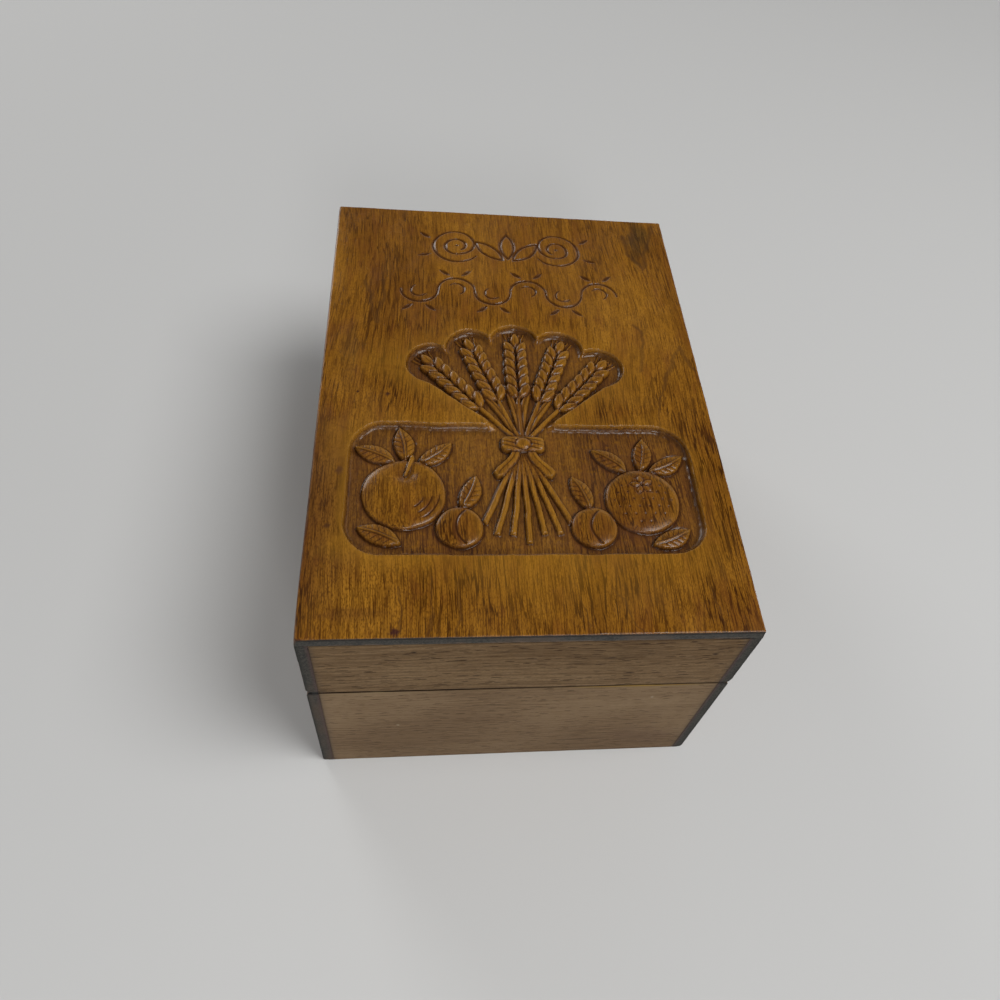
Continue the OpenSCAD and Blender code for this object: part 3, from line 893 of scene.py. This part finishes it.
class Grain:
    """Wood cut from one log: rings round its pith, and fibres and pores along it.
    places are in millimetres, with the grain along their Y. pith is where the log's middle lies, across
    and in depth, ring is how thick a year's growth is, and pore is how far apart pores lie, across and
    along the grain, and their size late and early in the year, as a share of that."""

    def __init__(self, g, places, pith, ring, seed, pore=(0.6, 8, 0.34, 0.42)):
        self.g = g
        moved = g.vector("ADD", places, (seed * 37, seed * 211, seed * 53))
        drift = g.times(g.noise(moved, (0.012, 0.006, 0.012), 1), 16, -8)
        self.places = g.vector("ADD", moved, g.node("ShaderNodeCombineXYZ", drift))
        self.tone = g.noise(self.places, (0.022, 0.01, 0.022))
        heave = g.noise(moved, (0.003, 0.01, 0.003), 1)
        x, _, z = g.split(places)
        across = g.add(x, g.math("SUBTRACT", drift, pith[0]))
        depth = g.add(z, g.times(heave, 60, -30 - pith[1]))
        out = g.math("SQRT", g.add(g.times(across, across), g.times(depth, depth)))
        waver = g.noise(self.places, (0.07, 0.02, 0.07), 3)
        phase = g.math("FRACT", g.times(waver, 1.1, g.times(out, 1 / ring)))
        self.rings = g.ramp(phase, (0, 0), (0.5, 0.08), (0.85, 0.7), (0.94, 1), (1, 0))
        self.fibres = self.streaks(0.5, 11, 3, 5)
        self.flecks = self.streaks(0.4, 1.4, 1, 21)
        most = g.band(phase, 0.5, 0, pore[2:])
        near, kind = self.dashes(*pore[:2])
        self.pores = g.times(g.band(near, most, g.times(most, 0.75)), g.band(kind, 0.25, 0.6, (0.1, 1)))
        threads = g.math("ABSOLUTE", g.add(self.streaks(1.3, 26, 1, 33), -0.5))
        self.threads = g.times(g.band(threads, 0.055, 0.015), g.band(self.tone, 0.4, 0.6, (1, 0.3)))

    def streaks(self, width, length, detail=2, seed=0):
        """Streaks of about these sizes in millimetres, from 0 to 1."""
        places = self.g.vector("ADD", self.places, (seed, seed * 3.1, seed * 1.7))
        return self.g.noise(places, (1 / width, 1 / length, 1 / width), detail)

    def dashes(self, width, length):
        """How far each place is from the nearest of many points that lie about this far apart, and a
        value from 0 to 1 of that point's own."""
        places = self.g.vector("DIVIDE", self.places, (width, length, width))
        near = self.g.node("ShaderNodeTexVoronoi", places, None, 1)
        return near, self.g.split(near.node.outputs["Color"])[0]

    def colour(self, tones, dark, rings, streaks, fibres, pores):
        """Three slowly changing tones, and over them rings, streaks, fibres and pores as strong as given."""
        g = self.g
        return g.over(
            g.ramp(self.tone, *zip((0.34, 0.5, 0.66), tones)),
            (self.rings, rings, dark),
            (g.band(self.streaks(2.2, 100), 0.48, 0.68), streaks, dark),
            (g.band(self.streaks(1, 45, 2, 13), 0.5, 0.32), streaks, tones[2]),
            (g.band(self.fibres, 0.47, 0.68), fibres, dark),
            (g.band(self.flecks, 0.45, 0.7), g.times(fibres, 0.75), dark),
            (g.times(self.threads, fibres), 1.4, tuple(c * 0.6 for c in dark)),
            (self.pores, pores, tuple(c * 0.55 for c in dark)),
        )

    def relief(self, fibres=0.04, pits=0.03):
        """Heights in millimetres: the fibres stand up a little, and the pores are pits."""
        return self.g.times(self.pores, -pits, self.g.times(self.fibres, fibres))


def finish(g, colour, rough, height, gloss):
    """Ends a material with its surface's colour, roughness and relief in millimetres, and gives it back."""
    bump = g.nodes.new("ShaderNodeBump")
    bump.inputs["Distance"].default_value = MM
    g.plug(bump.inputs["Height"], height)
    g.set(Base_Color=colour, Roughness=rough, Normal=bump.outputs[0], Specular_IOR_Level=gloss)
    return g.owner


def end_grain(g, p, colour):
    """Adds the dark grey of the sawn ends, at the front and back of a board whose grain runs along Y, and
    gives its share as well."""
    depth = g.math("ABSOLUTE", g.split(p)[1])
    share = g.band(depth, FRONT_Y - 0.5, FRONT_Y - 0.15)
    dots = g.noise(p, (1.5, 0.1, 1.5), 3)
    browned = g.noise(p, (0.05, 0.02, 0.035), 1)
    grey = g.mix(g.band(dots, 0.38, 0.62), (0.016, 0.015, 0.013), (0.043, 0.039, 0.031))
    grey = g.mix(g.band(browned, 0.5, 0.66, (0, 0.5)), grey, (0.075, 0.047, 0.028))
    return g.mix(share, colour, grey), share


def bare_wood(grain):
    """Unvarnished wood, a little browned by age."""
    tones = ((0.24, 0.145, 0.075), (0.31, 0.2, 0.108), (0.37, 0.25, 0.145))
    return grain.colour(tones, (0.15, 0.085, 0.042), 0.5, 0.35, 0.35, 0.5)


def inner_share(g, p):
    """1 on the faces that look into the box or the lid, and 0 on the rest."""
    level = g.vector("MULTIPLY", p, (1, 1, 0))
    normal = g.node("ShaderNodeTexCoord", output=1)
    return g.band(g.vector("DOT_PRODUCT", level, normal), -20, -60)


def joint_share(g, p, low, high):
    """1 on the outer faces next to the joint between base and lid, up to low away, and 0 past high."""
    x, y, z = g.split(p)
    width = g.math("ABSOLUTE", g.times(x, 1 / SIDE_X))
    depth = g.math("ABSOLUTE", g.times(y, 1 / FRONT_Y))
    outside = g.band(g.math("MAXIMUM", width, depth), 0.991, 0.996)
    return g.times(outside, g.band(g.math("ABSOLUTE", g.add(z, -JOINT_Z)), high, low))


def worn_share(g, p, least, most):
    """Where the edges are rubbed, in patches; edge nearness goes from 0 to 1."""
    patches = g.noise(p, (0.13, 0.13, 0.3), 4, 0.65)
    return g.times(g.band(g.attribute("edge"), least, most), g.band(patches, 0.46, 0.6))


def with_marks(g, colour, p, marks, axis, level):
    """Lays marks of age over a colour, on the face that lies at a level on an axis."""
    for at, half, share, mark in marks:
        at, half = list(at), list(half)
        at.insert(axis, level)
        half.insert(axis, PATCH_DEPTH)
        colour = g.over(colour, (g.patch(p, at, half), share, mark))
    return colour


def top_wood():
    """Golden brown varnished wood, darkened in the carving by stain and painted shade, with the marks of its
    age.
    """
    g = Graph("top_wood")
    p = g.places()
    x, y, z = g.split(p)
    grain = Grain(g, p, (72, 96), 7, 1, (0.6, 11, 0.26, 0.42))
    tones = ((0.182, 0.07, 0.0055), (0.247, 0.102, 0.0078), (0.316, 0.139, 0.0125))
    dark = (0.072, 0.022, 0.001)
    colour = grain.colour(tones, dark, 0.28, 0.28, g.band(y, 90, -100, (0.5, 0.84)), 0.65)
    warm = g.noise(grain.places, (0.13, 0.04, 0.13), 4, 0.6)
    waver = g.times(g.noise(p, (0.1, 0.1, 0), 3), 7, -3.5)
    flat = g.node("ShaderNodeCombineXYZ", g.add(x, waver), y)
    figure = 9
    for half, points in TOP_FIGURE:
        for a, b in zip(points, points[1:]):
            figure = g.math("MINIMUM", g.times(g.stroke(flat, a, b), 1 / half), figure)
    colour = g.over(
        colour,
        (g.band(warm, 0.5, 0.66), 0.35, (0.15, 0.048, 0.007)),
        (g.band(figure, 1.4, 0.3), 0.55, (0.07, 0.028, 0.006)),
    )
    for at, half, tint in TOP_SHADES:
        colour = g.mix(g.patch(p, (*at, TOP_Z), (*half, PATCH_DEPTH)), colour, tint, "MULTIPLY")
    colour = with_marks(g, colour, p, TOP_MARKS, 2, TOP_Z)
    depth, crest = g.attribute("depth"), g.attribute("crest")
    colour = g.over(
        colour,
        (g.attribute("halo"), 0.4, (0.12, 0.036, 0.01)),
        (depth, 0.1, (0.08, 0.032, 0.014)),
        (g.times(g.band(depth, 0.45, 0.95), g.band(crest, 0.25, 0)), 0.22, (0.078, 0.037, 0.022)),
        # Painted shade in the carving's hollows.
        (g.attribute("cavity_shade"), 0.7, (0.03, 0.011, 0.004)),
        # Stain and painted shade in the grooves and cut lines.
        (g.attribute("stain_and_shade"), 0.9, (0.034, 0.01, 0.001)),
        (crest, 0.4, (0.34, 0.16, 0.014)),
    )
    colour, end = end_grain(g, p, colour)
    colour = g.over(
        colour,
        (g.times(end, g.band(z, TOP_Z - 1.6, TOP_Z - 0.6)), 0.85, (0.009, 0.007, 0.005)),
        (worn_share(g, p, 0.86, 1), 0.4, (0.3, 0.18, 0.1)),
    )
    rough = g.band(g.noise(p, (0.05, 0.03, 0.05), 4, 0.6), 0.35, 0.65, (0.2, 0.32))
    rubbed = g.band(g.attribute("edge"), 0.8, 1)
    rough = g.times(g.math("MAXIMUM", end, rubbed), 0.3, rough)
    swell = g.noise(p, (0.11, 0.05, 0.11), 1)
    return finish(g, colour, rough, g.times(swell, 0.35, grain.relief(0.02, 0.008)), 0.25)


def wall_wood(name, seed, tones, pore, contrast, marks):
    """Greyish brown stained wood with the grain from side to side."""
    g = Graph(name)
    p = g.places()
    x, y, z = g.split(p)
    grain = Grain(g, g.node("ShaderNodeCombineXYZ", z, x, y), (-60, -FRONT_Y), 2.8, seed, pore)
    dark = (0.052, 0.024, 0.007)
    colour = g.over(
        grain.colour(tones, dark, 0.3 * contrast, 0.25 * contrast, 0.32 * contrast, 1.5 * contrast),
        (g.band(g.attribute("edge"), 0.7, 1), 0.6, (0.035, 0.022, 0.012)),
        (g.band(g.math("ABSOLUTE", x), SIDE_X - 8.3, SIDE_X - 4.3), 0.35, (0.05, 0.04, 0.032)),
    )
    colour = with_marks(g, colour, p, marks, 1, -FRONT_Y)
    # The joint between lid and base is darkened: a dark joint with grime, and painted shade that deepens it
    # towards the left.
    joint_grime_and_shade = g.noise(p, (0.09, 0, 0), 4)
    joint_grime_and_shade = g.times(g.band(x, -40, 10, (1, 0.65)), g.band(joint_grime_and_shade, 0.3, 0.5, (0.7, 1)))
    inner = inner_share(g, p)
    colour = g.over(
        colour,
        # Dark joint and painted shade.
        (joint_share(g, p, 0.45, 0.9), joint_grime_and_shade, (0.012, 0.006, 0.003)),
        (inner, 1, bare_wood(grain)),
    )
    rough = g.times(grain.fibres, 0.2, g.times(inner, 0.1, 0.45))
    return finish(g, colour, rough, grain.relief(), 0.05)


def side_wood():
    """Brown varnished wood with the grain from front to back, and dark grey ends."""
    g = Graph("side_wood")
    p = g.places()
    x, y, z = g.split(p)
    grain = Grain(g, g.node("ShaderNodeCombineXYZ", z, y, x), (60, 40), 6, 3, (0.6, 9, 0.3, 0.44))
    tones = ((0.12, 0.054, 0.009), (0.17, 0.081, 0.014), (0.22, 0.11, 0.022))
    colour = grain.colour(tones, (0.055, 0.025, 0.009), 0.45, 0.45, 0.5, 0.8)
    colour = g.over(colour, (worn_share(g, p, 0.8, 1), 0.4, (0.27, 0.17, 0.09)))
    colour, end = end_grain(g, p, colour)
    from_outer = g.math("SUBTRACT", SIDE_X, g.math("ABSOLUTE", x))
    colour = g.over(
        colour,
        (g.times(end, g.band(from_outer, 2.9, 4.6)), 0.55, (0.07, 0.036, 0.03)),
        (g.times(end, g.band(from_outer, 1.9, 0.3)), 0.7, (0.01, 0.011, 0.009)),
        # Near black in the joint between lid and base: painted shade in the gap, deepest at the left, over a
        # dark joint.
        (joint_share(g, p, 1, 1.8), g.band(x, -40, 60, (1, 0.6)), (0.003, 0.002, 0.001)),
    )
    colour = with_marks(g, colour, p, END_MARKS, 1, -FRONT_Y)
    inner = inner_share(g, p)
    colour = g.mix(inner, colour, bare_wood(grain))
    rough = g.times(grain.fibres, 0.15, g.times(g.math("MAXIMUM", end, inner), 0.2, 0.36))
    return finish(g, colour, rough, grain.relief(), 0.2)


def inner_wood():
    """The bare floor board, with its grain from front to back."""
    g = Graph("inner_wood")
    grain = Grain(g, g.places(), (-30, -60), 6, 5)
    return finish(g, bare_wood(grain), g.band(grain.fibres, 0.3, 0.7, (0.5, 0.68)), grain.relief(), 0.25)


TARNISH = (0.075, 0.042, 0.018)


def brass(name, bright, dull, roughness):
    """Aged brass: rubbed bright in places, browned in others and in what is sunk, with fine marks of use."""
    g = Graph(name)
    p = g.places()
    patches = g.noise(p, (0.05, 0.2, 0.08), 3)
    specks = g.noise(p, (0.9,) * 3, 3, 0.6)
    marks = g.noise(p, (0.3, 3, 3))
    sunk = g.band(g.split(p)[1], FRONT_Y + 0.85, FRONT_Y + 0.5, (0, 0.85))
    colour = g.over(
        bright,
        (g.band(patches, 0.4, 0.7), 1, dull),
        (g.band(marks, 0.5, 0.7), 0.25, dull),
        (g.band(specks, 0.64, 0.72), 0.35, TARNISH),
        (sunk, 1, TARNISH),
    )
    rough = g.add(g.band(patches, 0.35, 0.7, (roughness, roughness + 0.1)), g.times(marks, 0.1))
    rough = g.times(sunk, 0.2, rough)
    g.set(Metallic=1)
    return finish(g, colour, rough, g.times(marks, 0.01), 0.5)


def add_area_light(name, at, size, watts):
    light = bpy.data.lights.new(name, "AREA")
    light.shape = "DISK"
    light.size = size
    light.energy = watts
    lamp = add_object(name, light)
    lamp.location = at
    lamp.rotation_euler = (LIGHT_AIM - Vector(at)).to_track_quat("-Z", "Y").to_euler()


def add_camera():
    data = bpy.data.cameras.new("camera")
    data.sensor_width = 36
    data.lens = CAMERA_LENS
    data.shift_x, data.shift_y = CAMERA_SHIFT
    camera = add_object("camera", data)
    camera.location = CAMERA_AT
    camera.rotation_euler = [math.radians(angle) for angle in CAMERA_TURN]
    bpy.context.scene.camera = camera


# The surroundings' colour, their strength low down and overhead, and the point that the lights face
SURROUNDINGS = (1, 0.985, 0.975)
LOW_STRENGTH = 0.8
HIGH_STRENGTH = 0.1
LIGHT_AIM = Vector((0, 0, 0.08))


def add_floor():
    """A plain pale surface, a hair below the box, which fades into the pale surroundings far from it."""
    g = Graph("floor")
    g.set(Base_Color=(0.555, 0.555, 0.548), Roughness=0.8)
    away = g.vector("LENGTH", g.places())
    path = g.nodes.new("ShaderNodeLightPath").outputs
    seen = g.math("MAXIMUM", path["Is Camera Ray"], path["Is Glossy Ray"])
    seen = g.math("MAXIMUM", seen, path["Is Transmission Ray"])
    share = g.times(seen, g.band(away, 900, 2600))
    glow = g.node("ShaderNodeEmission", SURROUNDINGS, LOW_STRENGTH)
    mixed = g.node("ShaderNodeMixShader", share, g.shader.outputs[0], glow)
    g.links.new(mixed, g.nodes["Material Output"].inputs[0])
    half, z = 3000, -0.05
    corners = [(-half, -half, z), (half, -half, z), (half, half, z), (-half, half, z)]
    add_object("floor", new_mesh("floor", np.array(corners), [(0, 1, 2, 3)], g.owner))


def add_world():
    """Pale round about and dim overhead, so that no bright sky veils the varnish."""
    g = Graph("studio", bpy.data.worlds, "Background")
    up = g.split(g.node("ShaderNodeTexCoord"))[2]
    g.set(Color=SURROUNDINGS, Strength=g.band(up, 0.2, 0.52, (LOW_STRENGTH, HIGH_STRENGTH)))
    bpy.context.scene.world = g.owner


bpy.context.scene.view_settings.view_transform = "Standard"
add_camera()
add_world()
add_floor()
add_area_light("key", (1.1, -0.6, 2.2), 1.4, 44)
add_area_light("front", (0.1, -1.1, 0.75), 0.3, 3.8)
add_area_light("back", (-1.2, 1.8, 1), 1, 14)

bare = inner_wood()
carved_top(top_wood(), bare)
side = side_wood()
walls = {
    "lid": wall_wood("lid_wall_wood", 2, LID_TONES, (0.95, 7, 0.24, 0.42), 1.2, LID_MARKS),
    "base": wall_wood("base_wall_wood", 7, BASE_TONES, (0.66, 7, 0.2, 0.4), 0.6, BASE_MARKS),
}
for body, wall in walls.items():
    for place in ("front", "back"):
        board(f"{body}_{place}", body, wall, "wall_wood", wall_ease)
    for place in ("left", "right"):
        board(f"{body}_{place}_side", body, side, "side_wood", side_ease)
board("base_bottom", "base", bare, "inner_wood", floor_ease)

hinge_brass = brass("hinge_brass", (0.56, 0.37, 0.14), (0.34, 0.205, 0.08), 0.24)
screw_brass = brass("screw_brass", (0.62, 0.45, 0.22), (0.4, 0.27, 0.12), 0.28)
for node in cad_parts:
    if "hinge_screws" in node:
        worked_brass(node, screw_brass, "screw_brass")
    elif "hinge" in node:
        worked_brass(node, hinge_brass, "hinge_brass")
